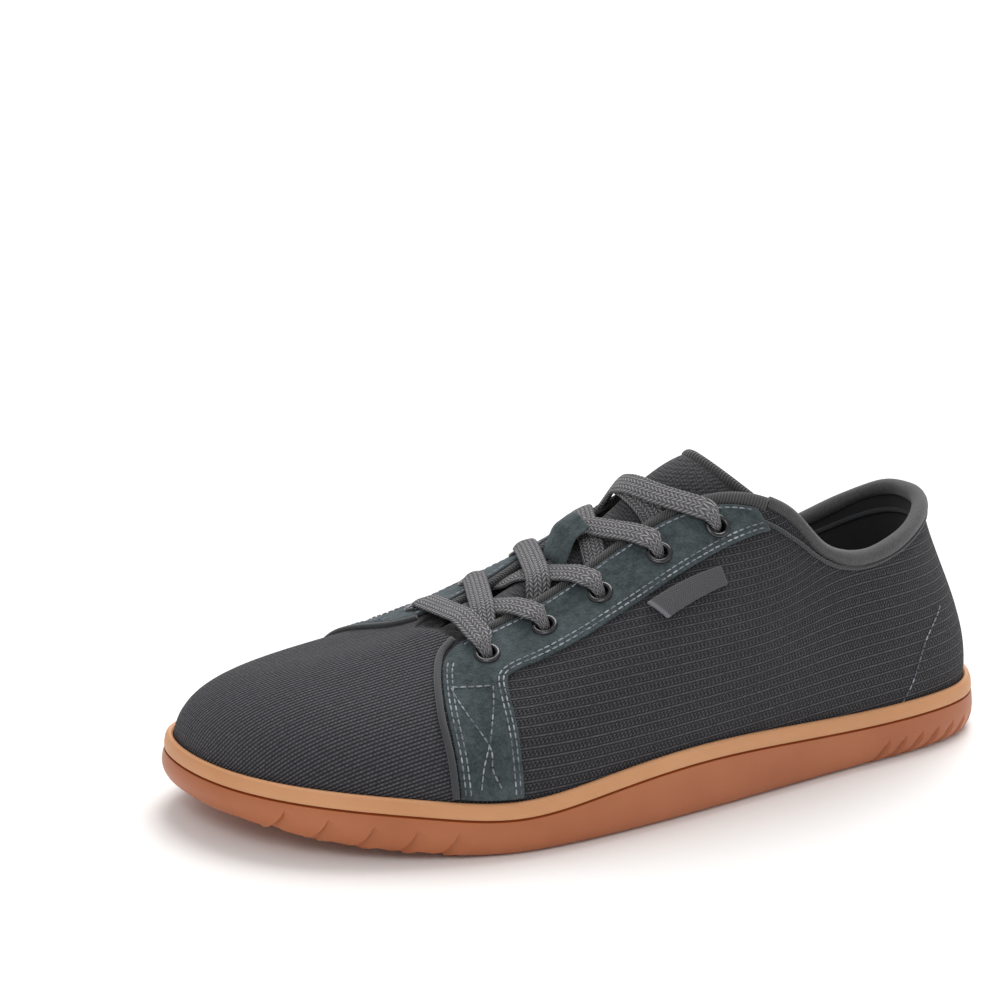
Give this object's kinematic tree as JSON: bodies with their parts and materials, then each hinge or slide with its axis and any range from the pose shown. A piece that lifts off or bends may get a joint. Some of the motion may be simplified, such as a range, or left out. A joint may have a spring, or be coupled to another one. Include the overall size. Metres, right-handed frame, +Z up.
{
  "type": "barefoot shoe",
  "caption": "Low lace-up barefoot shoe for the left foot, with a knitted upper, suede eyestays and a thin flat gum rubber cup sole.",
  "frame": {"origin": "middle of the shoe's footprint box, on the plane that the sole stands on", "axes": "+X from heel to toe, +Y towards the outer side of the foot, +Z up"},
  "size_m": [0.275, 0.1068, 0.1003],
  "materials": {
    "gum_rubber": "satin moulded gum rubber",
    "insole_foam": "brushed lining over foam",
    "knit": "charcoal ribbed knit",
    "collar_cloth": "smooth dark lining cloth",
    "tongue_knit": "charcoal honeycomb knit",
    "label_weave": "plain grey woven tape",
    "lace": "flat woven dark grey lace",
    "suede": "dark green grey suede nap",
    "ribbed_tape": "ribbed dark grey binding",
    "dark_metal": "glossy gunmetal"
  },
  "bodies": {
    "root": {"outsole": "gum_rubber", "insole": "insole_foam", "upper": "knit", "collar": "collar_cloth", "tongue": "tongue_knit", "label": "label_weave", "lace_bar": "lace", "lace_keeper": "suede", "eyestay_outer": "suede", "seam_piping_outer": "suede", "throat_tape_outer": "ribbed_tape", "eyelet_outer_1": "dark_metal", "eyelet_outer_2": "dark_metal", "eyelet_outer_3": "dark_metal", "eyelet_outer_4": "dark_metal", "eyelet_outer_5": "dark_metal", "eyestay_inner": "suede", "seam_piping_inner": "suede", "throat_tape_inner": "ribbed_tape", "eyelet_inner_1": "dark_metal", "eyelet_inner_2": "dark_metal", "eyelet_inner_3": "dark_metal", "eyelet_inner_4": "dark_metal", "eyelet_inner_5": "dark_metal", "lace_cross_1": "lace", "lace_cross_2": "lace", "lace_cross_3": "lace", "lace_cross_4": "lace"}
  },
  "joints": []
}
